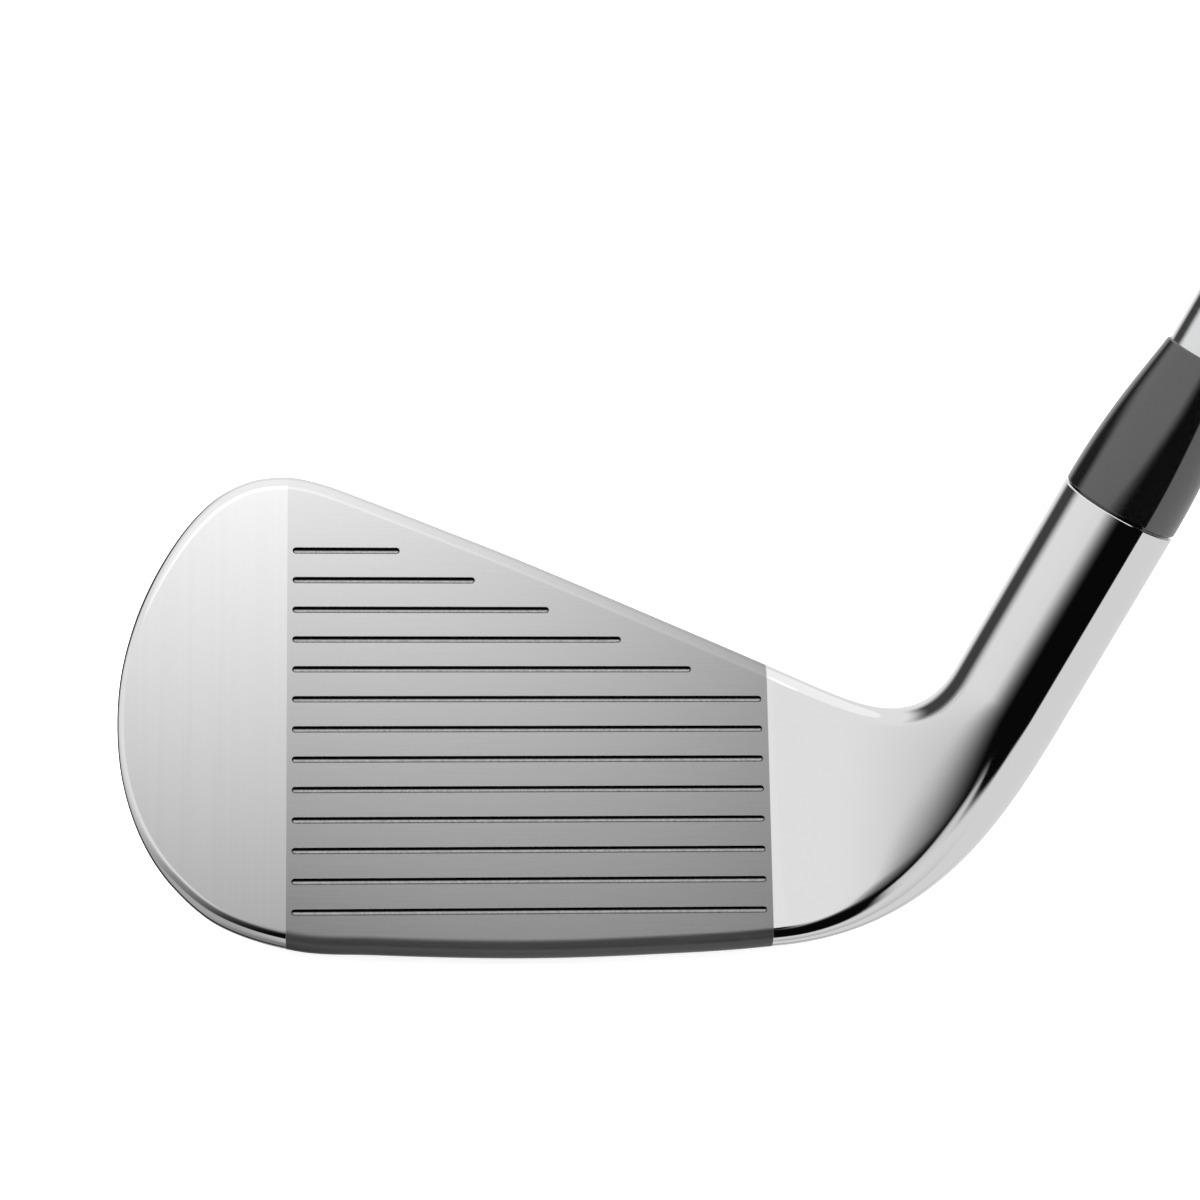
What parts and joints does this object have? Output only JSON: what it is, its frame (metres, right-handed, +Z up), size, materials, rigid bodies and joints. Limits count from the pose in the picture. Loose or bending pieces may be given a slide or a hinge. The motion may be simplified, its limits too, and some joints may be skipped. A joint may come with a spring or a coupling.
{
  "type": "iron golf club",
  "caption": "Right-handed cavity-back iron golf club with a grooved chrome head, black ferrule, stepped steel shaft and rubber grip.",
  "frame": {"origin": "on the flat land of the sole, where the club rests on the ground, under the middle of the score lines", "axes": "+X from the toe towards the heel, parallel to the score lines; +Y from the face towards the back; +Z up"},
  "size_m": [0.51, 0.043, 0.8504],
  "materials": {
    "head_chrome": "polished chrome with a satin blasted hitting area",
    "tungsten": "turned satin",
    "pad_foam": "matte",
    "badge_plate": "dark anodised, brushed",
    "ferrule_black": "polished",
    "shaft_steel": "bright nickel-chrome",
    "plug_brass": "as turned",
    "grip_rubber": "moulded texture",
    "grip_tape": "crepe paper",
    "cap_rubber": "smooth moulded"
  },
  "bodies": {
    "root": {"head_body": "head_chrome", "toe_weight": "tungsten", "badge_pad": "pad_foam", "cavity_badge": "badge_plate", "ferrule": "ferrule_black", "shaft": "shaft_steel", "tip_plug": "plug_brass", "grip": "grip_rubber", "grip_tape": "grip_tape", "butt_cap": "cap_rubber"}
  },
  "joints": []
}
